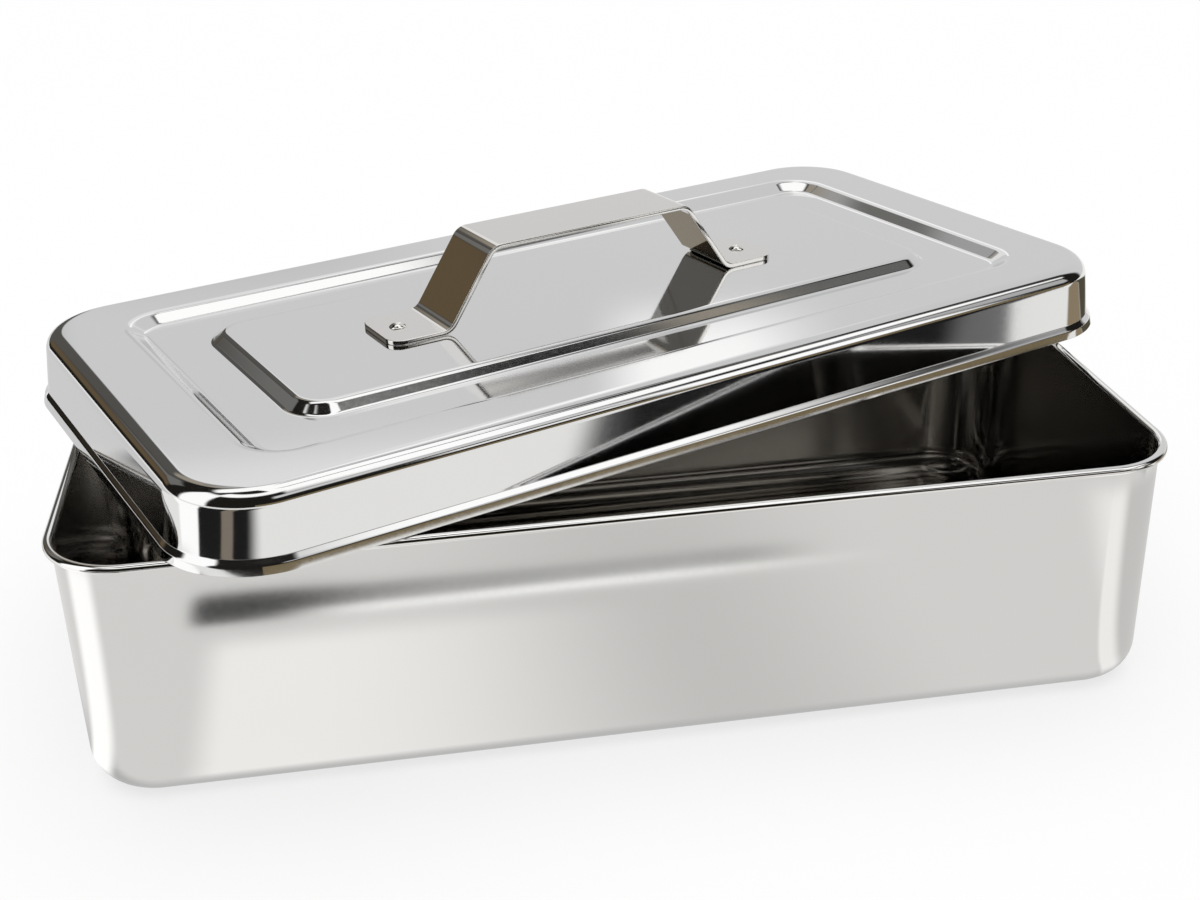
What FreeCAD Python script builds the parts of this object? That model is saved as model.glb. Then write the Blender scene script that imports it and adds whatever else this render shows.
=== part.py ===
import FreeCAD, Part
import math
import os

# Sterilizer box: a deep-drawn stainless pan with a rolled rim, a pressed lid lying askew on it,
# and a bent strip handle fixed to the lid by two rivets.
# Millimetres. X is the long side of the pan, Z is up, the origin is under the middle of its floor.

# Pan
box_length = 300.0              # over the rolled rim
box_width = 150.0               # over the rolled rim
box_height = 72.0               # table to rim top
rim_corner_radius = 22.0        # in plan, over the rolled rim
body_sheet = 0.8
rim_curl_radius = 1.4           # outside of the curl, seen in section
rim_curl_turn_deg = 202.5       # from the wall over the top and back under
floor_bend_radius = 9.0         # inside of the bend

# Lid shell
lid_sheet = 0.8
lid_height = 21.0               # cut edge to the flat top
lid_fit_clearance = 0.5         # skirt to rolled rim when the lid is on
lid_edge_radius = 4.2           # inside of the bend from the top to the skirt
skirt_draft_deg = 7.0
collar_step = 1.8               # how far the lower band stands out from the skirt
collar_height = 2.6             # lower band, up to the shoulder
collar_flare_deg = 15.0         # how far the lower band leans out
collar_shoulder_height = 1.4

# Pressed rings of the lid
border_ends = 20.5              # rim outline to the outer ring, at the ends
border_sides = 16.5             # rim outline to the outer ring, at the sides
outer_ring_corner_radius = 13.0
outer_ring_drop = 3.0
outer_ring_run = 5.0
outer_ring_bend_radius = 3.2
recess_width = 19.4             # outer ring to the foot of the inner ring
inner_ring_corner_radius = 12.0
inner_ring_rise = 3.0
inner_ring_run = 3.6
inner_ring_bend_radius = 1.8

# Handle
handle_sheet = 1.5
handle_width = 23.0
handle_length = 136.0
handle_height = 24.0            # plateau to the top of the bar
handle_top_length = 68.0        # between the upper bends
handle_foot_length = 18.5       # foot end to the lower bend
handle_bend_radius = 4.0        # inside of the bends
handle_foot_corner_radius = 5.0
handle_middle_x = -2.8          # the handle stands a little off the lid's middle

# Rivets
rivet_shank_diameter = 3.0
rivet_hole_clearance = 0.1      # on the diameter
rivet_head_diameter = 5.2
rivet_head_height = 1.3
rivet_tail_diameter = 4.6
rivet_tail_height = 0.8
rivet_end_distance = 7.2        # foot end to rivet

# How the lid lies on the rim
lid_turn_deg = 22.4
lid_shift_x = 3.2
lid_shift_y = 38.1
lid_rest_gap = 0.05             # rim top to the lid's cut edge

flat_margin = 0.5               # short flat kept beside each bend that meets a flat plate
hidden_flat_turn_deg = 45.0     # a bend's hidden face is drawn in flats that turn no more than this
small_flat_turn_deg = 22.5      # and so are small or shaded round faces, in finer flats

UP = FreeCAD.Vector(0, 0, 1)
ORIGIN = FreeCAD.Vector(0, 0, 0)


def at(x, z):
    """A point of a section, which is drawn in the XZ plane."""
    return FreeCAD.Vector(x, 0, z)


def direction(start, end):
    step = end - start
    return step / step.Length


def left_of(heading):
    return at(-heading.z, heading.x)


def turns_left(before, after):
    return before.x * after.z - before.z * after.x > 0


def offset_line(points, distance):
    """The bent line that runs beside another one, on its left where distance is positive."""
    headings = [direction(a, b) for a, b in zip(points, points[1:])]
    moved = [points[0] + left_of(headings[0]) * distance]
    for corner, before, after in zip(points[1:-1], headings, headings[1:]):
        bisector = left_of(before) + left_of(after)
        moved.append(corner + bisector * (2.0 * distance / bisector.Length ** 2))
    moved.append(points[-1] + left_of(headings[-1]) * distance)
    return moved


def in_flats(arc, turn, flat_turn_deg):
    """An arc drawn as a few short flats, to keep small and hidden faces light."""
    count = math.ceil(turn / math.radians(flat_turn_deg) - 1e-6)
    corners = arc.discretize(count + 1)
    return [Part.makeLine(a, b) for a, b in zip(corners, corners[1:])]


def bent_line(points, radii, flat_turn_deg=None):
    """Edges of a bent line: straight runs joined at each inner point by an arc.

    The arc is drawn in flats where flat_turn_deg is given. A bend without a radius is a sharp corner.
    """
    edges = []
    start = points[0]
    for i, radius in enumerate(radii, 1):
        if radius is None:
            edges.append(Part.makeLine(start, points[i]))
            start = points[i]
            continue
        before = direction(points[i - 1], points[i])
        after = direction(points[i], points[i + 1])
        half_turn = before.getAngle(after) / 2.0
        reach = radius * math.tan(half_turn)
        arc_start = points[i] - before * reach
        arc_end = points[i] + after * reach
        inward = direction(before, after)
        middle = points[i] + inward * (radius / math.cos(half_turn) - radius)
        arc = Part.Arc(arc_start, middle, arc_end).toShape()
        edges.append(Part.makeLine(start, arc_start))
        edges += in_flats(arc, 2.0 * half_turn, flat_turn_deg) if flat_turn_deg else [arc]
        start = arc_end
    edges.append(Part.makeLine(start, points[-1]))
    return edges


def both_faces(points, inside_radii, sheet, behind_flat_turn_deg=None):
    """Edges of a sheet's drawn face, the points of the face behind it, and that face's edges reversed.

    The sheet lies on the left of the drawn face where its thickness is positive. The radii are those
    of the inside of each bend, or None where it is sharp.
    """
    drawn_radii = []
    behind_radii = []
    for i, inside in enumerate(inside_radii, 1):
        before = direction(points[i - 1], points[i])
        after = direction(points[i], points[i + 1])
        outside = inside + abs(sheet) if inside else None
        drawn_is_outside = turns_left(before, after) == (sheet > 0)
        drawn_radii.append(outside if drawn_is_outside else inside)
        behind_radii.append(inside if drawn_is_outside else outside)
    behind = offset_line(points, sheet)
    behind_edges = bent_line(behind[::-1], behind_radii[::-1], behind_flat_turn_deg)
    return bent_line(points, drawn_radii), behind, behind_edges


def sheet_section(points, inside_radii, sheet, behind_flat_turn_deg=None):
    """Closed section of a bent sheet, drawn by one of its faces."""
    drawn_edges, behind, behind_edges = both_faces(points, inside_radii, sheet, behind_flat_turn_deg)
    end_cap = Part.makeLine(points[-1], behind[-1])
    start_cap = Part.makeLine(behind[0], points[0])
    return Part.Face(Part.Wire(drawn_edges + [end_cap] + behind_edges + [start_cap]))


def sweep_round_rectangle(section, length, width, corner_radius):
    """Pieces of a section run round a rectangle; the section's x starts at the axis of a corner."""
    centre_x = length / 2.0 - corner_radius
    centre_y = width / 2.0 - corner_radius
    corner = section.revolve(ORIGIN, UP, 90)
    pieces = []
    for quarter, (side_x, side_y) in enumerate([(1, 1), (-1, 1), (-1, -1), (1, -1)]):
        run = 2.0 * (centre_y if quarter % 2 == 0 else centre_x)
        side = section.extrude(FreeCAD.Vector(0, -run, 0))
        for piece in (corner.copy(), side):
            piece.rotate(ORIGIN, UP, 90 * quarter)
            piece.translate(FreeCAD.Vector(side_x * centre_x, side_y * centre_y, 0))
            pieces.append(piece)
    return pieces


def round_rectangle(length, width, corner_radius, z):
    """Wire of a rectangle with round corners, lying at height z."""
    blank = Part.makeBox(length, width, 1.0, FreeCAD.Vector(-length / 2.0, -width / 2.0, z))
    upright = [edge for edge in blank.Edges if abs(edge.tangentAt(edge.FirstParameter).z) > 0.5]
    rounded = blank.makeFillet(corner_radius, upright)
    bottom = min(rounded.Faces, key=lambda face: face.CenterOfMass.z)
    return bottom.OuterWire


def flat_plate(outline, top_z, sheet, hole=None):
    """Flat sheet; its outline and its hole are each given as (length, width, corner radius)."""
    plate = Part.Face(round_rectangle(*outline, top_z - sheet)).extrude(UP * sheet)
    if hole:
        cutter = Part.Face(round_rectangle(*hole, top_z - 2.0 * sheet)).extrude(UP * 3.0 * sheet)
        plate = plate.cut(cutter)
    return plate


def one_sheet(pieces):
    """The pieces of a formed sheet joined into its one solid."""
    return pieces[0].multiFuse(pieces[1:]).removeSplitter().Solids[0]


def make_box_body():
    """Floor, floor bend, wall and rolled rim, drawn from one sheet."""
    curl_inside = rim_curl_radius - body_sheet
    curl_centre = at(rim_corner_radius - rim_curl_radius, box_height - rim_curl_radius)

    def on_curl(radius, turned_deg):
        angle = math.radians(180.0 - turned_deg)
        return curl_centre + at(math.cos(angle), math.sin(angle)) * radius

    wall_top = on_curl(curl_inside, 0)
    wall_foot = at(wall_top.x, 0)
    floor_edge = at(wall_foot.x - body_sheet - floor_bend_radius - flat_margin, 0)
    outside_edges, inside_points, inside_edges = both_faces(
        [floor_edge, wall_foot, wall_top], [floor_bend_radius], body_sheet, small_flat_turn_deg)
    half_turn = rim_curl_turn_deg / 2.0
    under_curl = Part.Arc(wall_top, on_curl(curl_inside, half_turn),
                          on_curl(curl_inside, rim_curl_turn_deg)).toShape()
    over_curl = Part.Arc(on_curl(rim_curl_radius, rim_curl_turn_deg),
                         on_curl(rim_curl_radius, half_turn), inside_points[-1]).toShape()
    cut_edge = Part.makeLine(on_curl(curl_inside, rim_curl_turn_deg),
                             on_curl(rim_curl_radius, rim_curl_turn_deg))
    curl_turn = math.radians(rim_curl_turn_deg)
    curl_edges = (in_flats(under_curl, curl_turn, hidden_flat_turn_deg) + [cut_edge]
                  + in_flats(over_curl, curl_turn, small_flat_turn_deg))
    floor_cap = Part.makeLine(inside_points[0], floor_edge)
    section = Part.Face(Part.Wire(outside_edges + curl_edges + inside_edges + [floor_cap]))

    pieces = sweep_round_rectangle(section, box_length, box_width, rim_corner_radius)
    inset = rim_corner_radius - floor_edge.x
    floor_outline = (box_length - 2 * inset, box_width - 2 * inset, floor_edge.x)
    pieces.append(flat_plate(floor_outline, body_sheet, body_sheet))
    return one_sheet(pieces)


def make_lid():
    """Lid in its own frame: cut edge at z 0, long side along X."""
    # Edge bend, skirt, shoulder and stepped-out band, drawn by the outer face
    skirt_top = rim_corner_radius + lid_fit_clearance + lid_sheet
    shoulder_top = collar_height + collar_shoulder_height
    skirt_foot = skirt_top + (lid_height - shoulder_top) * math.tan(math.radians(skirt_draft_deg))
    band = skirt_foot + collar_step
    band_lean = math.radians(collar_flare_deg)
    outer_cut = lid_sheet * math.sin(band_lean)     # the cut is square, so its inner corner is lowest
    border_edge = skirt_top - lid_sheet - lid_edge_radius - flat_margin
    skirt_line = [at(border_edge, lid_height),
                  at(skirt_top, lid_height),
                  at(skirt_foot, shoulder_top),
                  at(band - (collar_height - outer_cut) * math.tan(band_lean), collar_height),
                  at(band, outer_cut)]
    skirt_bends = [lid_edge_radius, None, None]
    section = sheet_section(skirt_line, skirt_bends, -lid_sheet, hidden_flat_turn_deg)
    pieces = sweep_round_rectangle(section, box_length, box_width, rim_corner_radius)

    # Flat border, outer ring, recess and inner ring, drawn by the top face from the border inwards
    inset = rim_corner_radius - border_edge
    plate_outline = (box_length - 2 * inset, box_width - 2 * inset, border_edge)
    plate_top = lid_height
    for length, width, corner_radius, step, run, bend_radius in ring_sizes():
        margin = bend_radius + lid_sheet + flat_margin
        ring_line = [at(corner_radius + margin, plate_top),
                     at(corner_radius, plate_top),
                     at(corner_radius - run, plate_top + step),
                     at(corner_radius - run - margin, plate_top + step)]
        section = sheet_section(ring_line, [bend_radius] * 2, lid_sheet, hidden_flat_turn_deg)
        pieces += sweep_round_rectangle(section, length, width, corner_radius)
        ring_outside = (length + 2 * margin, width + 2 * margin, corner_radius + margin)
        pieces.append(flat_plate(plate_outline, plate_top, lid_sheet, ring_outside))
        inset = run + margin
        plate_outline = (length - 2 * inset, width - 2 * inset, corner_radius - inset)
        plate_top += step

    # Plateau
    pieces.append(flat_plate(plate_outline, plate_top, lid_sheet))
    return one_sheet(pieces)


def ring_sizes():
    """Length, width, corner radius, step up, run and bend radius of the outer and the inner ring."""
    outer_length = box_length - 2 * border_ends
    outer_width = box_width - 2 * border_sides
    return [(outer_length, outer_width, outer_ring_corner_radius,
             -outer_ring_drop, outer_ring_run, outer_ring_bend_radius),
            (outer_length - 2 * recess_width, outer_width - 2 * recess_width,
             inner_ring_corner_radius, inner_ring_rise, inner_ring_run, inner_ring_bend_radius)]


plateau_top = lid_height - outer_ring_drop + inner_ring_rise


def make_handle():
    """One strip with four bends, drawn by its lower face; its feet lie on the plateau."""
    bend_x = handle_length / 2.0 - handle_foot_length
    top_x = handle_top_length / 2.0
    bar_under = plateau_top + handle_height - handle_sheet
    strip_line = [at(-handle_length / 2.0, plateau_top),
                  at(-bend_x, plateau_top),
                  at(-top_x, bar_under),
                  at(top_x, bar_under),
                  at(bend_x, plateau_top),
                  at(handle_length / 2.0, plateau_top)]
    section = sheet_section(strip_line, [handle_bend_radius] * 4, handle_sheet)
    section.translate(FreeCAD.Vector(0, -handle_width / 2.0, 0))
    strip = section.extrude(FreeCAD.Vector(0, handle_width, 0))
    blank = round_rectangle(handle_length, handle_width, handle_foot_corner_radius, plateau_top)
    handle = strip.common(Part.Face(blank).extrude(UP * handle_height))
    handle.translate(FreeCAD.Vector(handle_middle_x, 0, 0))
    return handle


def rivet_places():
    x = handle_length / 2.0 - rivet_end_distance
    return [FreeCAD.Vector(handle_middle_x + side * x, 0, plateau_top) for side in (-1, 1)]


def drill_rivet_holes(sheet_part):
    for place in rivet_places():
        radius = (rivet_shank_diameter + rivet_hole_clearance) / 2.0
        start = place - UP * 2.0 * lid_sheet
        drill = Part.makeCylinder(radius, 2.0 * lid_sheet + 2.0 * handle_sheet, start)
        sheet_part = sheet_part.cut(drill)
    return sheet_part.removeSplitter().Solids[0]


def make_rivets():
    """Domed head on the foot, shank through foot and lid, struck tail beneath, for each foot."""
    seat = handle_sheet
    under = -lid_sheet
    tail_low = under - rivet_tail_height
    head_top = at(0, seat + rivet_head_height)
    head_rim = at(rivet_head_diameter / 2.0, seat)
    shank_x = rivet_shank_diameter / 2.0
    below_head = [head_rim,
                  at(shank_x, seat),
                  at(shank_x, under),
                  at(rivet_tail_diameter / 2.0, under),
                  at(rivet_tail_diameter / 2.0, tail_low),
                  at(0, tail_low),
                  head_top]
    outline = [Part.makeLine(a, b) for a, b in zip(below_head, below_head[1:])]
    outline += in_flats(*dome_arc(head_top, head_rim), small_flat_turn_deg)
    rivet = Part.Face(Part.Wire(outline)).revolve(ORIGIN, UP, 360)
    rivets = []
    for place in rivet_places():
        copy = rivet.copy()
        copy.translate(place)
        rivets.append(copy)
    return Part.makeCompound(rivets)


def dome_arc(top, rim):
    """Arc of a shallow dome from its top, on the axis, to its rim, and the angle it turns through."""
    height = top.z - rim.z
    sphere_radius = (rim.x ** 2 + height ** 2) / (2.0 * height)
    centre = at(0, top.z - sphere_radius)
    half = direction(centre, (top + rim) * 0.5)
    turn = math.asin(rim.x / sphere_radius)
    return Part.Arc(top, centre + half * sphere_radius, rim).toShape(), turn


def lay_on_rim(shape):
    """Moves a part of the lid from the lid's frame to where the lid lies on the pan."""
    laid = shape.copy()
    laid.rotate(ORIGIN, UP, lid_turn_deg)
    laid.translate(FreeCAD.Vector(lid_shift_x, lid_shift_y, box_height + lid_rest_gap))
    return laid


os.makedirs("parts", exist_ok=True)
nodes = {
    "box_body": make_box_body(),
    "lid": lay_on_rim(drill_rivet_holes(make_lid())),
    "handle": lay_on_rim(drill_rivet_holes(make_handle())),
    "handle_rivets": lay_on_rim(make_rivets()),
}
for name, shape in nodes.items():
    shape.exportStep(f"parts/{name}.step")
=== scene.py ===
import math

import bmesh
import bpy
from mathutils import Matrix, Vector


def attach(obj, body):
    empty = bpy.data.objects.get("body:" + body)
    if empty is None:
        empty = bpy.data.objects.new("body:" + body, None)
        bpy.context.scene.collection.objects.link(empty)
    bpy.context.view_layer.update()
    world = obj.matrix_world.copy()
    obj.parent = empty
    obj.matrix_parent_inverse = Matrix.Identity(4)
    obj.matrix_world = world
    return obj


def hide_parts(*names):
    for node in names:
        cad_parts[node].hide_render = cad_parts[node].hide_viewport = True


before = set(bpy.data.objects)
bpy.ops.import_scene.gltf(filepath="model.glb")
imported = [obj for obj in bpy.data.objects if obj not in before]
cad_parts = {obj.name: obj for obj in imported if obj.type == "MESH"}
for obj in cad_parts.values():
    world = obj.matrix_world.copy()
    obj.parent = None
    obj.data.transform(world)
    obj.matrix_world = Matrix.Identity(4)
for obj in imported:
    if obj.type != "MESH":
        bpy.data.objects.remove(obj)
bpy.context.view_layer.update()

# Pan
# The pan is one sheet of stainless steel, deep-drawn to a box with round corners. Its rim is curled
# outwards and back under itself. The outside is bright. The inside is softer in its shine, and its
# colour is painted darker as shade, as is the hidden inside of the curl; the bead itself keeps the
# bright steel colour.
MM = 0.001
RIM_LENGTH = 300.0 * MM
RIM_WIDTH = 150.0 * MM
PAN_HEIGHT = 72.0 * MM
RIM_CORNER_RADIUS = 22.0 * MM
PAN_SHEET = 0.8 * MM
CURL_RADIUS = 1.4 * MM
CURL_TURN = math.radians(202.5)
FLOOR_BEND_RADIUS = 9.0 * MM
HOLD = 0.35 * MM
CORNER_STEPS = 24
BEND_STEP = math.radians(7.5)
MERGE_REACH = 0.001 * MM
SHEET_EDGE_ROUND = 0.14 * MM
SHEET_EDGE_STEPS = 3
SHEET_EDGE_ANGLE = math.radians(50.0)

# Each finish: its name, colour, roughness, the haze that clouds add to that, and the ripples' depth
PAN_OUTSIDE = ("pan_outside", (0.78, 0.775, 0.765), 0.075, 0.02, 0.015 * MM)
# Painted shade: the inside and the inside of the curl are the same steel, coloured darker as shade.
PAN_INSIDE_PAINTED_SHADE = ("pan_inside_painted_shade", (0.50, 0.485, 0.46), 0.13, 0.02, 0.003 * MM)
CURL_INSIDE_PAINTED_SHADE = ("curl_inside_painted_shade", (0.50, 0.485, 0.46), 0.13, 0.02, 0.003 * MM)
CURL_OUTSIDE = ("curl_outside", (0.80, 0.795, 0.785), 0.06, 0.02, 0.003 * MM)
PAN_FINISHES = (PAN_OUTSIDE, PAN_INSIDE_PAINTED_SHADE, CURL_INSIDE_PAINTED_SHADE, CURL_OUTSIDE)


def bent_section(corners, radii):
    """Points (x, z) of a bent sheet: an arc at each inner corner, and a held point beside it."""
    points = [Vector(corners[0])]
    for i, radius in enumerate(radii, 1):
        here = Vector(corners[i])
        before = (here - Vector(corners[i - 1])).normalized()
        after = (Vector(corners[i + 1]) - here).normalized()
        turn = before.angle_signed(after)
        reach = radius * math.tan(abs(turn) / 2.0)
        side = math.copysign(1.0, turn)
        centre = here - before * reach + Vector((before.y, -before.x)) * radius * side
        start = here - before * reach
        points.append(start - before * HOLD)
        points += arc(centre, start, -turn)
        points.append(here + after * (reach + HOLD))
    points.append(Vector(corners[-1]))
    return points


def arc(centre, start, turn):
    """Points round a centre, from start, through an angle that is positive anticlockwise."""
    steps = max(3, round(abs(turn) / BEND_STEP))
    arm = start - centre
    return [centre + Matrix.Rotation(turn * i / steps, 2) @ arm for i in range(steps + 1)]


def chain(bm, section, foot):
    """Vertices and edges of a section, standing at a foot point with its x outwards."""
    verts = [bm.verts.new(foot + Vector((p.x, 0.0, p.y))) for p in section]
    edges = [bm.edges.new(pair) for pair in zip(verts, verts[1:])]
    return verts + edges


def swept_round(bm, section, length, width, corner_radius):
    """Carries a section once round a rectangle with round corners, by turns and straight runs."""
    half_x = length / 2.0 - corner_radius
    half_y = width / 2.0 - corner_radius
    centres = [Vector((half_x, half_y, 0.0)), Vector((-half_x, half_y, 0.0)),
               Vector((-half_x, -half_y, 0.0)), Vector((half_x, -half_y, 0.0))]
    moving = chain(bm, section, centres[0])
    for centre, following in zip(centres, centres[1:] + centres[:1]):
        turned = bmesh.ops.spin(bm, geom=moving, cent=centre, axis=(0, 0, 1),
                                angle=math.radians(90.0), steps=CORNER_STEPS)
        edges = [part for part in turned["geom_last"] if isinstance(part, bmesh.types.BMEdge)]
        run = bmesh.ops.extrude_edge_only(bm, edges=edges)["geom"]
        moved = [part for part in run if isinstance(part, bmesh.types.BMVert)]
        bmesh.ops.translate(bm, verts=moved, vec=following - centre)
        moving = moved + [part for part in run if isinstance(part, bmesh.types.BMEdge)]
    bmesh.ops.remove_doubles(bm, verts=bm.verts, dist=MERGE_REACH)


def open_loops(bm):
    """The open edge loops of a sheet, from the smallest to the largest across."""
    left = {edge for edge in bm.edges if edge.is_boundary}
    loops = []
    while left:
        found = [left.pop()]
        for edge in found:
            for vert in edge.verts:
                for other in vert.link_edges:
                    if other in left:
                        left.remove(other)
                        found.append(other)
        loops.append(found)
    return sorted(loops, key=lambda loop: max(abs(v.co.x) for edge in loop for v in edge.verts))


def formed_sheet(name, bm, thickness, facing, placed=Matrix.Identity(4)):
    """A piece from a one-sided sheet. The largest face looks up (1) or down (-1), the wall is behind."""
    bmesh.ops.recalc_face_normals(bm, faces=bm.faces)
    if max(bm.faces, key=lambda face: face.calc_area()).normal.z * facing < 0.0:
        bmesh.ops.reverse_faces(bm, faces=bm.faces)
    bmesh.ops.transform(bm, matrix=placed, verts=bm.verts)
    mesh = bpy.data.meshes.new(name)
    bm.to_mesh(mesh)
    bm.free()
    mesh.polygons.foreach_set("use_smooth", [True] * len(mesh.polygons))
    piece = bpy.data.objects.new(name, mesh)
    bpy.context.scene.collection.objects.link(piece)
    wall = piece.modifiers.new("sheet", "SOLIDIFY")
    wall.thickness = thickness
    wall.offset = -1.0
    wall.use_even_offset = True
    wall.material_offset = 1
    edge = piece.modifiers.new("deburred edge", "BEVEL")
    edge.width = SHEET_EDGE_ROUND
    edge.segments = SHEET_EDGE_STEPS
    edge.limit_method = "ANGLE"
    edge.angle_limit = SHEET_EDGE_ANGLE
    shading = piece.modifiers.new("flats stay flat", "WEIGHTED_NORMAL")
    shading.mode = "FACE_AREA"
    return piece


CLOUD_SCALE = 14.0
CLOUD_DETAIL = 3.0
CLOUD_SHADE = 0.97
GRAIN_SCALE = 900.0
GRAIN_DETAIL = 4.0
POLISH_LOW = 0.7
POLISH_HIGH = 1.3
WAVE_SCALE = 22.0
WAVE_DETAIL = 1.0


def steel(name, colour, roughness, haze, ripple):
    """Polished stainless steel: grey with a trace of warmth, cloudy haze and slight ripples."""
    material = bpy.data.materials.new(name)
    material.use_nodes = True
    nodes = material.node_tree.nodes
    links = material.node_tree.links
    shader = nodes["Principled BSDF"]
    shader.inputs["Metallic"].default_value = 1.0
    place = nodes.new("ShaderNodeTexCoord")

    clouds = nodes.new("ShaderNodeTexNoise")
    clouds.inputs["Scale"].default_value = CLOUD_SCALE
    clouds.inputs["Detail"].default_value = CLOUD_DETAIL
    links.new(place.outputs["Object"], clouds.inputs["Vector"])

    tone = nodes.new("ShaderNodeMix")
    tone.data_type = "RGBA"
    tone.inputs["A"].default_value = (*[part * CLOUD_SHADE for part in colour], 1.0)
    tone.inputs["B"].default_value = (*colour, 1.0)
    links.new(clouds.outputs["Fac"], tone.inputs["Factor"])
    links.new(tone.outputs["Result"], shader.inputs["Base Color"])

    grain = nodes.new("ShaderNodeTexNoise")
    grain.inputs["Scale"].default_value = GRAIN_SCALE
    grain.inputs["Detail"].default_value = GRAIN_DETAIL
    links.new(place.outputs["Object"], grain.inputs["Vector"])
    polish = nodes.new("ShaderNodeMath")
    polish.operation = "ADD"
    links.new(clouds.outputs["Fac"], polish.inputs[0])
    links.new(grain.outputs["Fac"], polish.inputs[1])
    span = nodes.new("ShaderNodeMapRange")
    span.inputs["From Min"].default_value = POLISH_LOW
    span.inputs["From Max"].default_value = POLISH_HIGH
    span.inputs["To Min"].default_value = roughness
    span.inputs["To Max"].default_value = roughness + haze
    links.new(polish.outputs["Value"], span.inputs["Value"])
    links.new(span.outputs["Result"], shader.inputs["Roughness"])

    waves = nodes.new("ShaderNodeTexNoise")
    waves.inputs["Scale"].default_value = WAVE_SCALE
    waves.inputs["Detail"].default_value = WAVE_DETAIL
    links.new(place.outputs["Object"], waves.inputs["Vector"])
    bump = nodes.new("ShaderNodeBump")
    bump.inputs["Strength"].default_value = 1.0
    bump.inputs["Distance"].default_value = ripple
    links.new(waves.outputs["Fac"], bump.inputs["Height"])
    links.new(bump.outputs["Normal"], shader.inputs["Normal"])
    return material


wall_x = RIM_CORNER_RADIUS - 2.0 * CURL_RADIUS + PAN_SHEET
curl_centre = Vector((RIM_CORNER_RADIUS - CURL_RADIUS, PAN_HEIGHT - CURL_RADIUS))
pan_section = bent_section([(wall_x - FLOOR_BEND_RADIUS - 2.0 * PAN_SHEET, 0.0),
                            (wall_x, 0.0),
                            (wall_x, curl_centre.y)],
                           [FLOOR_BEND_RADIUS + PAN_SHEET])
pan_section += arc(curl_centre, Vector((wall_x, curl_centre.y)), -CURL_TURN)[1:]

bm = bmesh.new()
swept_round(bm, pan_section, RIM_LENGTH, RIM_WIDTH, RIM_CORNER_RADIUS)
bmesh.ops.contextual_create(bm, geom=open_loops(bm)[0])
pan = formed_sheet("pan", bm, PAN_SHEET, -1)
for finish in PAN_FINISHES:
    pan.data.materials.append(steel(*finish))
# Faces on the curl take its own finishes: painted shade inside the curl, bright steel on the bead.
for face in pan.data.polygons:
    if face.center.z > PAN_HEIGHT - 2.0 * CURL_RADIUS:
        face.material_index = PAN_FINISHES.index(CURL_INSIDE_PAINTED_SHADE)
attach(pan, "root")
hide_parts("box_body")

# Lid
# The lid is pressed from one sheet: an edge bend, a skirt that flares and steps out over the rim, a
# flat border, a ring that steps down and a ring that steps up to the plateau that takes the handle.
LID_SHEET = 0.8 * MM
LID_HEIGHT = 21.0 * MM
LID_FIT = 0.5 * MM
LID_EDGE_RADIUS = 4.2 * MM
SKIRT_FLARE = math.radians(7.0)
COLLAR_STEP = 1.8 * MM
COLLAR_HEIGHT = 2.6 * MM
SHOULDER_HEIGHT = 1.4 * MM
COLLAR_LEAN = math.radians(15.0)
COLLAR_BEND = 0.4 * MM
BORDER_ENDS = 20.5 * MM
BORDER_SIDES = 16.5 * MM
OUTER_CORNER = 13.0 * MM
OUTER_DROP = 3.0 * MM
OUTER_RUN = 5.0 * MM
OUTER_BEND = 3.2 * MM
RECESS_WIDTH = 19.4 * MM
INNER_CORNER = 12.0 * MM
INNER_RISE = 3.0 * MM
INNER_RUN = 3.6 * MM
INNER_BEND = 1.8 * MM
LID_OUTSIDE = ("lid_outside", (0.76, 0.76, 0.76), 0.045, 0.03, 0.02 * MM)
# Painted shade: the underside is the same sheet as the outside, coloured darker as shade; it is rougher
# too.
LID_UNDERSIDE_PAINTED_SHADE = ("lid_underside_painted_shade", (0.58, 0.565, 0.545), 0.12, 0.05, 0.02 * MM)
LID_TURN = math.radians(22.4)
LID_SHIFT = Vector((3.2 * MM, 38.1 * MM, PAN_HEIGHT + 0.05 * MM))
lid_place = Matrix.Translation(LID_SHIFT) @ Matrix.Rotation(LID_TURN, 4, "Z")

skirt_top = RIM_CORNER_RADIUS + LID_FIT + LID_SHEET
shoulder = COLLAR_HEIGHT + SHOULDER_HEIGHT
skirt_foot = skirt_top + (LID_HEIGHT - shoulder) * math.tan(SKIRT_FLARE)
band = skirt_foot + COLLAR_STEP
outer_cut = LID_SHEET * math.sin(COLLAR_LEAN)
band_top = band - (COLLAR_HEIGHT - outer_cut) * math.tan(COLLAR_LEAN)
edge_outside = LID_EDGE_RADIUS + LID_SHEET
skirt_section = bent_section([(skirt_top - edge_outside - 2.0 * HOLD, LID_HEIGHT),
                              (skirt_top, LID_HEIGHT),
                              (skirt_foot, shoulder),
                              (band_top, COLLAR_HEIGHT),
                              (band, outer_cut)],
                             [edge_outside, COLLAR_BEND, COLLAR_BEND + LID_SHEET])


def ring_section(corner, top, step, run, bend):
    """Section of a pressed step of the lid, from its outside inwards."""
    reach = bend + LID_SHEET + 2.0 * HOLD
    rising = step > 0
    return bent_section([(corner + reach, top),
                         (corner, top),
                         (corner - run, top + step),
                         (corner - run - reach, top + step)],
                        [bend if rising else bend + LID_SHEET, bend + LID_SHEET if rising else bend])


outer_length = RIM_LENGTH - 2.0 * BORDER_ENDS
outer_width = RIM_WIDTH - 2.0 * BORDER_SIDES
inner_length = outer_length - 2.0 * RECESS_WIDTH
inner_width = outer_width - 2.0 * RECESS_WIDTH
recess_top = LID_HEIGHT - OUTER_DROP
plateau_top = recess_top + INNER_RISE

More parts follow.
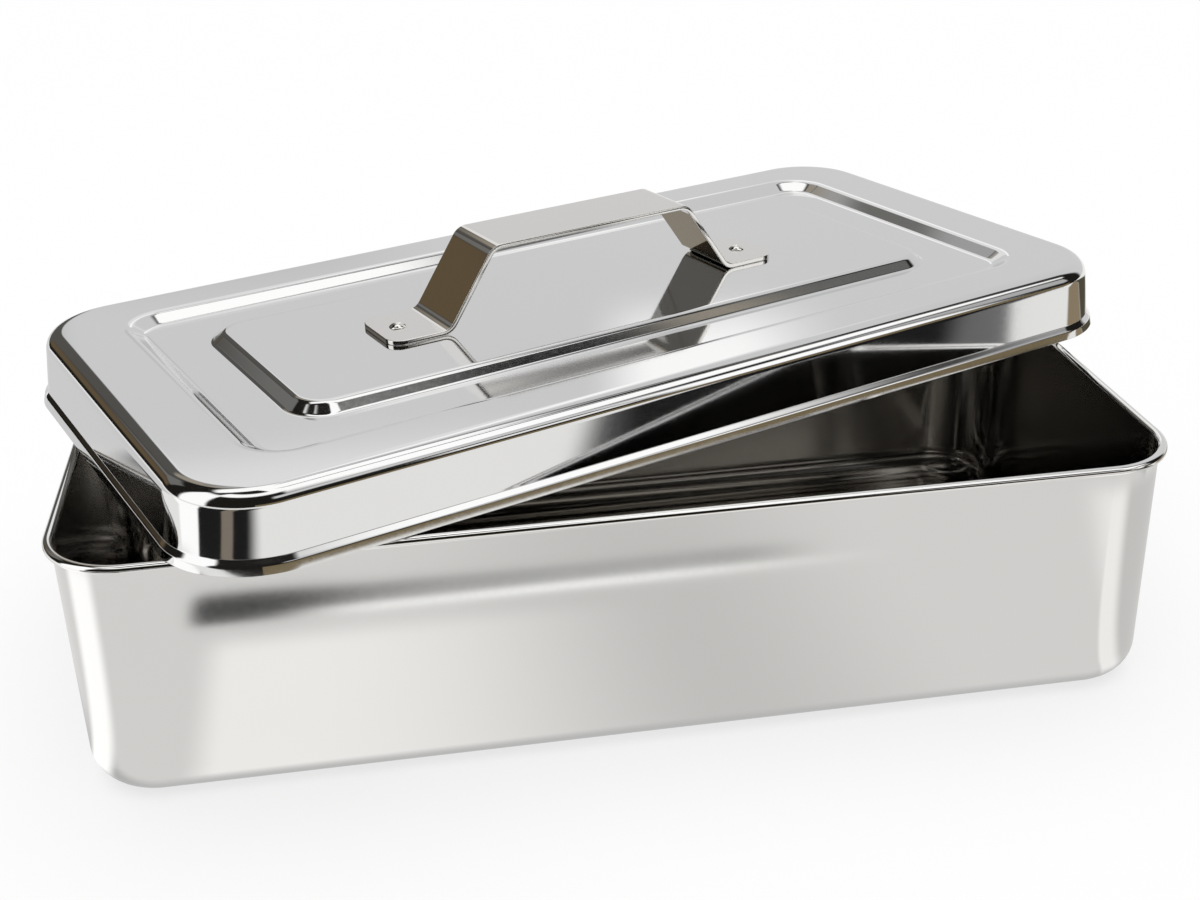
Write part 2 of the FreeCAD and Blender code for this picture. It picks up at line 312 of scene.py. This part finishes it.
bm = bmesh.new()
swept_round(bm, skirt_section, RIM_LENGTH, RIM_WIDTH, RIM_CORNER_RADIUS)
swept_round(bm, ring_section(OUTER_CORNER, LID_HEIGHT, -OUTER_DROP, OUTER_RUN, OUTER_BEND),
            outer_length, outer_width, OUTER_CORNER)
swept_round(bm, ring_section(INNER_CORNER, recess_top, INNER_RISE, INNER_RUN, INNER_BEND),
            inner_length, inner_width, INNER_CORNER)
plateau_edge, inner_foot, outer_foot, outer_top, border_edge, _ = open_loops(bm)
for outline in (border_edge + outer_top, outer_foot + inner_foot):
    bmesh.ops.triangle_fill(bm, edges=outline, use_beauty=True, normal=(0, 0, 1))
bmesh.ops.contextual_create(bm, geom=plateau_edge)
lid = formed_sheet("lid_shell", bm, LID_SHEET, 1, lid_place)
for finish in (LID_OUTSIDE, LID_UNDERSIDE_PAINTED_SHADE):
    lid.data.materials.append(steel(*finish))
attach(lid, "root")
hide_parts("lid")

# Handle
# The handle is one strip of thicker steel with four bends. Its two feet lie flat on the plateau and
# have rounded corners; all its edges are tumbled smooth.
HANDLE_SHEET = 1.5 * MM
HANDLE_WIDTH = 23.0 * MM
HANDLE_LENGTH = 136.0 * MM
HANDLE_HEIGHT = 24.0 * MM
HANDLE_TOP_LENGTH = 68.0 * MM
FOOT_LENGTH = 18.5 * MM
HANDLE_BEND = 4.0 * MM
FOOT_CORNER = 5.0 * MM
HANDLE_MIDDLE_X = -2.8 * MM
FOOT_CORNER_STEPS = 8
FOOT_END_REACH = 0.01 * MM
HANDLE_EDGE_ROUND = 0.3 * MM
HANDLE_FINISH = ("handle_steel", (0.77, 0.755, 0.73), 0.05, 0.03, 0.01 * MM)

bend_x = HANDLE_LENGTH / 2.0 - FOOT_LENGTH
bar_top = plateau_top + HANDLE_HEIGHT
foot_top = plateau_top + HANDLE_SHEET
handle_section = bent_section([(-HANDLE_LENGTH / 2.0, foot_top),
                               (-bend_x, foot_top),
                               (-HANDLE_TOP_LENGTH / 2.0, bar_top),
                               (HANDLE_TOP_LENGTH / 2.0, bar_top),
                               (bend_x, foot_top),
                               (HANDLE_LENGTH / 2.0, foot_top)],
                              [HANDLE_BEND, HANDLE_BEND + HANDLE_SHEET,
                               HANDLE_BEND + HANDLE_SHEET, HANDLE_BEND])
bm = bmesh.new()
strip = chain(bm, handle_section, Vector((0.0, -HANDLE_WIDTH / 2.0, 0.0)))
strip_edges = [part for part in strip if isinstance(part, bmesh.types.BMEdge)]
side = bmesh.ops.extrude_edge_only(bm, edges=strip_edges)["geom"]
side_verts = [part for part in side if isinstance(part, bmesh.types.BMVert)]
bmesh.ops.translate(bm, verts=side_verts, vec=(0.0, HANDLE_WIDTH, 0.0))
foot_corners = [vert for vert in bm.verts
                if abs(abs(vert.co.x) - HANDLE_LENGTH / 2.0) < FOOT_END_REACH]
bmesh.ops.bevel(bm, geom=foot_corners, offset=FOOT_CORNER, offset_type="OFFSET",
                segments=FOOT_CORNER_STEPS, profile=0.5, affect="VERTICES", material=-1)
handle_place = lid_place @ Matrix.Translation((HANDLE_MIDDLE_X, 0.0, 0.0))
handle = formed_sheet("strip_handle", bm, HANDLE_SHEET, 1, handle_place)
handle.modifiers["deburred edge"].width = HANDLE_EDGE_ROUND
handle.data.materials.append(steel(*HANDLE_FINISH))
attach(handle, "root")
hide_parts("handle")

# Rivets
# Two solid steel rivets hold the handle. Each has a low domed head on the foot, a shank through the
# foot and the lid, and a flat struck tail under the lid.
RIVET_SHANK = 3.0 * MM
RIVET_HEAD = 5.2 * MM
RIVET_HEAD_HEIGHT = 1.3 * MM
RIVET_TAIL = 4.6 * MM
RIVET_TAIL_HEIGHT = 0.8 * MM
RIVET_FROM_END = 7.2 * MM
RIVET_STEPS = 48
RIVET_EDGE_ROUND = 0.12 * MM
RIVET_EDGE_STEPS = 2
RIVET_EDGE_ANGLE = math.radians(40.0)
RIVET_FINISH = ("rivet_steel", (0.77, 0.755, 0.73), 0.06, 0.03, 0.005 * MM)

head_top = foot_top + RIVET_HEAD_HEIGHT
head_sphere = ((RIVET_HEAD / 2.0) ** 2 + RIVET_HEAD_HEIGHT ** 2) / (2.0 * RIVET_HEAD_HEIGHT)
head_centre = Vector((0.0, head_top - head_sphere))
dome_turn = math.asin(RIVET_HEAD / 2.0 / head_sphere)
under_lid = plateau_top - LID_SHEET
tail_low = under_lid - RIVET_TAIL_HEIGHT
rivet_section = arc(head_centre, Vector((0.0, head_top)), -dome_turn)
rivet_section += [Vector((RIVET_SHANK / 2.0, foot_top)),
                  Vector((RIVET_SHANK / 2.0, under_lid)),
                  Vector((RIVET_TAIL / 2.0, under_lid)),
                  Vector((RIVET_TAIL / 2.0, tail_low)),
                  Vector((0.0, tail_low))]
bm = bmesh.new()
for end in (-1.0, 1.0):
    axis = Vector((end * (HANDLE_LENGTH / 2.0 - RIVET_FROM_END), 0.0, 0.0))
    bmesh.ops.spin(bm, geom=chain(bm, rivet_section, axis), cent=axis, axis=(0, 0, 1),
                   angle=math.radians(360.0), steps=RIVET_STEPS, use_merge=True)
bmesh.ops.remove_doubles(bm, verts=bm.verts, dist=MERGE_REACH)
bmesh.ops.recalc_face_normals(bm, faces=bm.faces)
bmesh.ops.transform(bm, matrix=handle_place, verts=bm.verts)
rivet_mesh = bpy.data.meshes.new("rivets")
bm.to_mesh(rivet_mesh)
bm.free()
rivet_mesh.polygons.foreach_set("use_smooth", [True] * len(rivet_mesh.polygons))
rivets = bpy.data.objects.new("rivets", rivet_mesh)
bpy.context.scene.collection.objects.link(rivets)
rivet_edge = rivets.modifiers.new("struck edge", "BEVEL")
rivet_edge.width = RIVET_EDGE_ROUND
rivet_edge.segments = RIVET_EDGE_STEPS
rivet_edge.limit_method = "ANGLE"
rivet_edge.angle_limit = RIVET_EDGE_ANGLE
rivets.data.materials.append(steel(*RIVET_FINISH))
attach(rivets, "root")
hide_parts("handle_rivets")

# Studio
# A pale table with no visible end, a lit ceiling and back wall, and a dark room at the camera's side.
# The soft shapes listed below are cards, gaps and shades round the steel, and only mirrors show them.
FLOOR_SIZE = 8.0
FLOOR_COLOUR = (0.98, 0.98, 0.98)
FLOOR_ROUGHNESS = 0.9
FLOOR_SHEEN = 0.1
WHITE_SHARE = 0.7


def wired(tree, kind, *values, **settings):
    """A new node whose first inputs take sockets or plain values."""
    node = tree.nodes.new(kind)
    for name, setting in settings.items():
        setattr(node, name, setting)
    for socket, value in zip(node.inputs, values):
        if isinstance(value, bpy.types.NodeSocket):
            tree.links.new(value, socket)
        elif value is not None:
            socket.default_value = value
    return node


def pair(tree, across, along):
    """Two coordinates as one vector."""
    return wired(tree, "ShaderNodeCombineXYZ", across, along).outputs["Vector"]


def ramp(tree, spot, start, end):
    """For both coordinates at once, a soft step from 0 at the start to 1 at the end."""
    step = tree.nodes.new("ShaderNodeMapRange")
    step.data_type = "FLOAT_VECTOR"
    step.interpolation_type = "SMOOTHSTEP"
    spot_in, start_in, end_in = [socket for socket in step.inputs if socket.enabled][:3]
    tree.links.new(spot, spot_in)
    start_in.default_value = (*start, 0.0)
    end_in.default_value = (*end, 1.0)
    return step.outputs["Vector"]


def panelled(tree, ground, spot, panels):
    """Lays soft rectangles of grey, each on the ones before it, over a plain ground."""
    for shade, left, right, low, high, soft_left, soft_right, soft_low, soft_high in panels:
        rise = ramp(tree, spot, (left - soft_left, low - soft_low), (left + soft_left, low + soft_low))
        fall = ramp(tree, spot, (right + soft_right, high + soft_high),
                    (right - soft_right, high - soft_high))
        inside = wired(tree, "ShaderNodeVectorMath", rise, fall, operation="MULTIPLY")
        inside = wired(tree, "ShaderNodeSeparateXYZ", inside.outputs["Vector"])
        mask = wired(tree, "ShaderNodeMath", inside.outputs["X"], inside.outputs["Y"],
                     operation="MULTIPLY")
        layer = wired(tree, "ShaderNodeMix", mask.outputs["Value"], data_type="RGBA")
        layer.inputs["B"].default_value = (*shade, 1.0)
        if isinstance(ground, tuple):
            layer.inputs["A"].default_value = (*ground, 1.0)
        else:
            tree.links.new(ground, layer.inputs["A"])
        ground = layer.outputs["Result"]
    return ground


def leaning(tree, value, other, lean):
    """A coordinate whose lines lean, by adding a share of the other one."""
    return wired(tree, "ShaderNodeMath", other, lean, value, operation="MULTIPLY_ADD").outputs["Value"]


def around(tree, x, y, centre):
    """Degrees from the camera's side, positive to the right, and distance, about a point."""
    aside = wired(tree, "ShaderNodeMath", x, centre[0], operation="SUBTRACT").outputs["Value"]
    nearer = wired(tree, "ShaderNodeMath", centre[1], y, operation="SUBTRACT").outputs["Value"]
    angle = wired(tree, "ShaderNodeMath", aside, nearer, operation="ARCTAN2").outputs["Value"]
    angle = wired(tree, "ShaderNodeMath", angle, operation="DEGREES").outputs["Value"]
    distance = wired(tree, "ShaderNodeVectorMath", pair(tree, aside, nearer), operation="LENGTH")
    return pair(tree, angle, distance.outputs["Value"])


bm = bmesh.new()
bmesh.ops.create_grid(bm, x_segments=1, y_segments=1, size=FLOOR_SIZE / 2.0)
floor_mesh = bpy.data.meshes.new("floor")
bm.to_mesh(floor_mesh)
bm.free()
floor = bpy.data.objects.new("floor", floor_mesh)
bpy.context.scene.collection.objects.link(floor)
floor_paint = bpy.data.materials.new("floor_paint")
floor_paint.use_nodes = True
floor_tree = floor_paint.node_tree
floor_shader = floor_tree.nodes["Principled BSDF"]
floor_shader.inputs["Base Color"].default_value = (*FLOOR_COLOUR, 1.0)
floor_shader.inputs["Roughness"].default_value = FLOOR_ROUGHNESS
floor_shader.inputs["Specular IOR Level"].default_value = FLOOR_SHEEN

# Each shape: its shade, its left, right, low and high edges, and how soft each of these edges is.
# The leaning shapes and those of the table are in metres; those round a corner are in degrees from the
# camera's side and in metres out from the corner.
BLACK = (0.015, 0.015, 0.015)
SMOKE = (0.17, 0.17, 0.17)
BRIGHT = (1.30, 1.30, 1.29)
BEIGE = (0.25, 0.215, 0.175)
BRONZE = (0.31, 0.245, 0.16)
DARK_BRONZE = (0.09, 0.08, 0.055)
INK = (0.06, 0.06, 0.06)
DIM = (0.46, 0.46, 0.45)
SHADE = (0.55, 0.55, 0.55)
HOLLOW = (0.685, 0.68, 0.67)
LIT = (1.08, 1.075, 1.06)
TABLE_BACK = (0.72, 0.72, 0.72)
TABLE_NEAR = (0.815, 0.81, 0.80)
TABLE_FAR = (0.99, 0.985, 0.965)
DARK_EDGE_LEAN = 1.5
BACK_EDGE_LEAN = 0.41
LEANING_PANELS = [
    (SMOKE, -0.155, 9.0, -9.0, 0.0455, 0.020, 0.5, 0.5, 0.004),
    (BLACK, -0.135, 9.0, -9.0, 0.0120, 0.030, 0.5, 0.5, 0.010),
]
LID_CORNER = (-0.215, -0.097)
LID_CORNER_PANELS = [
    (BRIGHT, -106.0, -62.0, 0.130, 0.750, 4.0, 2.0, 0.010, 0.050),
    (BLACK, -61.0, 16.0, 0.130, 0.750, 2.5, 9.0, 0.010, 0.050),
    (BEIGE, -23.0, -8.0, 0.130, 0.750, 1.5, 1.5, 0.010, 0.050),
]
TABLE_PANELS = [
    (TABLE_BACK, -0.900, -0.160, 0.135, 1.500, 0.060, 0.030, 0.010, 0.100),
    (TABLE_NEAR, -0.275, 0.285, -0.215, 0.150, 0.010, 0.010, 0.010, 0.020),
    (HOLLOW, -0.030, 0.065, -0.215, -0.060, 0.050, 0.040, 0.010, 0.010),
    (LIT, -0.120, -0.035, -0.1495, -0.073, 0.006, 0.065, 0.0075, 0.004),
    (SHADE, -0.165, 0.165, -0.072, 0.050, 0.020, 0.020, 0.005, 0.010),
    (DIM, -0.060, 0.065, -0.1760, -0.1655, 0.050, 0.020, 0.003, 0.001),
    (LIT, 0.235, 0.440, -0.247, -0.205, 0.020, 0.030, 0.003, 0.012),
    (INK, -0.127, -0.060, -0.1775, -0.1650, 0.004, 0.060, 0.003, 0.001),
    (INK, -0.127, -0.092, -0.1800, -0.1610, 0.004, 0.025, 0.004, 0.001),
    (BRIGHT, -0.085, 0.060, -0.1650, -0.1605, 0.020, 0.050, 0.0008, 0.0012),
    (BRONZE, 0.335, 3.000, -0.085, 0.115, 0.030, 0.500, 0.020, 0.015),
    (DARK_BRONZE, 0.335, 3.000, 0.115, 0.250, 0.030, 0.500, 0.015, 0.020),
]
PAN_LEFT_CORNER = (-0.128, -0.053)
PAN_LEFT_PANELS = [(BRIGHT, -99.0, -60.0, 0.020, 0.150, 9.0, 9.0, 0.005, 0.010)]
PAN_RIGHT_CORNER = (0.128, -0.053)
PAN_RIGHT_PANELS = [
    (HOLLOW, 45.0, 175.0, 0.020, 0.150, 12.0, 3.0, 0.005, 0.010),
    (LIT, 22.5, 49.0, 0.020, 0.150, 3.0, 11.0, 0.005, 0.010),
]
spot = floor_tree.nodes.new("ShaderNodeTexCoord")
spot_axes = wired(floor_tree, "ShaderNodeSeparateXYZ", spot.outputs["Object"])
spot_x = spot_axes.outputs["X"]
spot_y = spot_axes.outputs["Y"]
leant = pair(floor_tree, leaning(floor_tree, spot_x, spot_y, DARK_EDGE_LEAN),
             leaning(floor_tree, spot_y, spot_x, BACK_EDGE_LEAN))
table = panelled(floor_tree, TABLE_FAR, leant, LEANING_PANELS)
table = panelled(floor_tree, table, around(floor_tree, spot_x, spot_y, LID_CORNER), LID_CORNER_PANELS)
table = panelled(floor_tree, table, spot.outputs["Object"], TABLE_PANELS)
for centre, panels in ((PAN_LEFT_CORNER, PAN_LEFT_PANELS), (PAN_RIGHT_CORNER, PAN_RIGHT_PANELS)):
    table = panelled(floor_tree, table, around(floor_tree, spot_x, spot_y, centre), panels)
mirrored = floor_tree.nodes.new("ShaderNodeEmission")
floor_tree.links.new(table, mirrored.inputs["Color"])
floor_ray = floor_tree.nodes.new("ShaderNodeLightPath")
white = floor_tree.nodes.new("ShaderNodeEmission")
veil = wired(floor_tree, "ShaderNodeMath", floor_ray.outputs["Is Camera Ray"], WHITE_SHARE,
             operation="MULTIPLY")
pale = wired(floor_tree, "ShaderNodeMixShader", veil.outputs["Value"],
             floor_shader.outputs["BSDF"], white.outputs["Emission"])
either = wired(floor_tree, "ShaderNodeMixShader", floor_ray.outputs["Is Glossy Ray"],
               pale.outputs["Shader"], mirrored.outputs["Emission"])
floor_tree.links.new(either.outputs["Shader"], floor_tree.nodes["Material Output"].inputs["Surface"])
floor.data.materials.append(floor_paint)

world = bpy.data.worlds.new("studio")
bpy.context.scene.world = world
world.use_nodes = True
sky = world.node_tree
sky.nodes.clear()
toward = sky.nodes.new("ShaderNodeTexCoord")
axes = wired(sky, "ShaderNodeSeparateXYZ", toward.outputs["Generated"])
heading = wired(sky, "ShaderNodeMath", axes.outputs["X"], axes.outputs["Y"], operation="ARCTAN2")
heading = wired(sky, "ShaderNodeMath", heading.outputs["Value"], operation="DEGREES").outputs["Value"]
height = wired(sky, "ShaderNodeMath", axes.outputs["Z"], operation="ARCSINE")
height = wired(sky, "ShaderNodeMath", height.outputs["Value"], operation="DEGREES").outputs["Value"]

# The shapes of the room are the same, in degrees: heading from the back, positive to the right, and
# height above the horizon. The last two groups are thin gaps between lit surfaces and lean by a share.
DARK_ROOM = (0.014, 0.013, 0.011)
BROWN_WALL = (0.13, 0.095, 0.055)
DULL_WALL = (0.10, 0.097, 0.09)
GREY_WALL = (0.18, 0.178, 0.17)
WARM_GREY = (0.37, 0.33, 0.27)
MID_GREY = (0.43, 0.43, 0.43)
PALE_GREY = (0.63, 0.63, 0.63)
SHADED_WALL = (0.52, 0.52, 0.52)
LIGHT_WALL = (0.745, 0.745, 0.75)
CEILING = (0.93, 0.93, 0.93)
STRIP_LIGHT = (1.22, 1.22, 1.21)
THIN_DARK = (0.15, 0.15, 0.145)
KHAKI = (0.21, 0.165, 0.095)
WALL_PANELS = [
    (DULL_WALL, -38.0, -12.5, -90.0, 40.0, 3.0, 1.0, 1.0, 6.0),
    (BROWN_WALL, -60.0, -36.0, 7.0, 18.0, 3.0, 3.0, 2.0, 2.0),
    (GREY_WALL, -62.0, -39.0, 19.0, 40.0, 2.0, 2.0, 2.0, 3.0),
    (WARM_GREY, -30.0, -12.5, 31.0, 60.0, 3.0, 1.0, 2.0, 2.0),
    (MID_GREY, -21.5, -13.0, 42.0, 60.0, 0.5, 1.0, 0.3, 2.0),
    (GREY_WALL, -21.5, -13.0, 43.0, 46.1, 0.5, 1.0, 0.4, 0.6),
    (LIGHT_WALL, -12.0, 70.0, -90.0, 62.0, 1.3, 4.0, 1.0, 3.0),
    (CEILING, -12.0, 22.0, 24.8, 60.0, 2.0, 3.0, 0.8, 3.0),
    (PALE_GREY, -10.0, 0.0, 12.0, 18.6, 2.0, 3.0, 2.0, 1.0),
    (STRIP_LIGHT, 9.3, 16.0, 20.8, 60.0, 1.5, 2.5, 1.0, 3.0),
    (BRIGHT, -90.0, 150.0, 64.0, 95.0, 8.0, 4.0, 3.0, 1.0),
    (BRIGHT, 88.0, 135.0, 38.0, 68.0, 2.0, 8.0, 3.0, 3.0),
    (BRIGHT, 130.0, 200.0, 54.0, 70.0, 4.0, 1.0, 3.0, 3.0),
    (LIGHT_WALL, 122.0, 157.0, 26.0, 37.0, 3.0, 4.0, 2.0, 3.0),
    (BRIGHT, 114.5, 126.0, 8.0, 27.0, 1.5, 1.5, 2.0, 3.0),
    (LIT, 126.8, 134.5, 14.0, 21.5, 1.0, 1.0, 1.5, 1.0),
    (SHADED_WALL, 100.0, 113.0, 17.0, 34.0, 2.0, 2.0, 3.0, 2.0),
    (KHAKI, 100.0, 200.0, -6.0, 6.5, 3.0, 1.0, 2.0, 1.5),
    (BRIGHT, -200.0, -116.0, 54.0, 70.0, 1.0, 4.0, 3.0, 3.0),
    (BRIGHT, -123.0, -86.0, -5.0, 58.0, 3.0, 3.0, 3.0, 4.0),
]
EDGE_GAP_LEAN = 0.27
EDGE_GAP = [(THIN_DARK, 20.0, 90.0, 74.2, 77.8, 6.0, 4.0, 1.0, 1.0)]
RING_GAP_LEAN = -0.94
RING_GAP = [
    (THIN_DARK, 80.0, 112.0, -33.0, -26.5, 3.0, 3.0, 1.2, 1.2),
    (BLACK, 91.0, 98.0, -33.0, -26.5, 1.5, 1.5, 1.2, 1.2),
    (WARM_GREY, 87.5, 90.0, -33.0, -26.5, 1.0, 1.0, 1.2, 1.2),
]

# The plain light of the room, brighter overhead, gives the soft shadow under the pan
DAYLIGHT = (0.40, 0.40, 0.40)
NOON = (1.9, 1.9, 1.9)
OVERHEAD = [(NOON, -400.0, 400.0, 50.0, 100.0, 1.0, 1.0, 8.0, 1.0)]
gaze = pair(sky, heading, height)
room = panelled(sky, DARK_ROOM, gaze, WALL_PANELS)
room = panelled(sky, room, pair(sky, heading, leaning(sky, height, heading, EDGE_GAP_LEAN)), EDGE_GAP)
room = panelled(sky, room, pair(sky, heading, leaning(sky, height, heading, RING_GAP_LEAN)), RING_GAP)
ray = sky.nodes.new("ShaderNodeLightPath")
seen = wired(sky, "ShaderNodeMix", ray.outputs["Is Glossy Ray"], data_type="RGBA")
sky.links.new(panelled(sky, DAYLIGHT, gaze, OVERHEAD), seen.inputs["A"])
sky.links.new(room, seen.inputs["B"])
glow = sky.nodes.new("ShaderNodeBackground")
sky.links.new(seen.outputs["Result"], glow.inputs["Color"])
wired(sky, "ShaderNodeOutputWorld", glow.outputs["Background"])

# Camera
# It stands a little left of the pan's middle and looks down at about 26 degrees.
CAMERA_PLACE = Vector((-62.357, -425.603, 260.944)) * MM
CAMERA_RIGHT = Vector((0.98692, -0.15914, -0.02571))
CAMERA_UP = Vector((0.09156, 0.42211, 0.90191))
IMAGE_WIDTH = 1200.0
FOCAL_PIXELS = 1593.88
SENSOR_WIDTH = 36.0
NEAREST = 0.01

camera_data = bpy.data.cameras.new("camera")
camera_data.sensor_width = SENSOR_WIDTH
camera_data.lens = FOCAL_PIXELS / IMAGE_WIDTH * SENSOR_WIDTH
camera_data.clip_start = NEAREST
camera = bpy.data.objects.new("camera", camera_data)
bpy.context.scene.collection.objects.link(camera)
right = CAMERA_RIGHT.normalized()
backward = right.cross(CAMERA_UP).normalized()
up = backward.cross(right)
camera_turn = Matrix((right, up, backward)).transposed().to_4x4()
camera.matrix_world = Matrix.Translation(CAMERA_PLACE) @ camera_turn
bpy.context.scene.camera = camera
bpy.context.scene.view_settings.view_transform = "Standard"
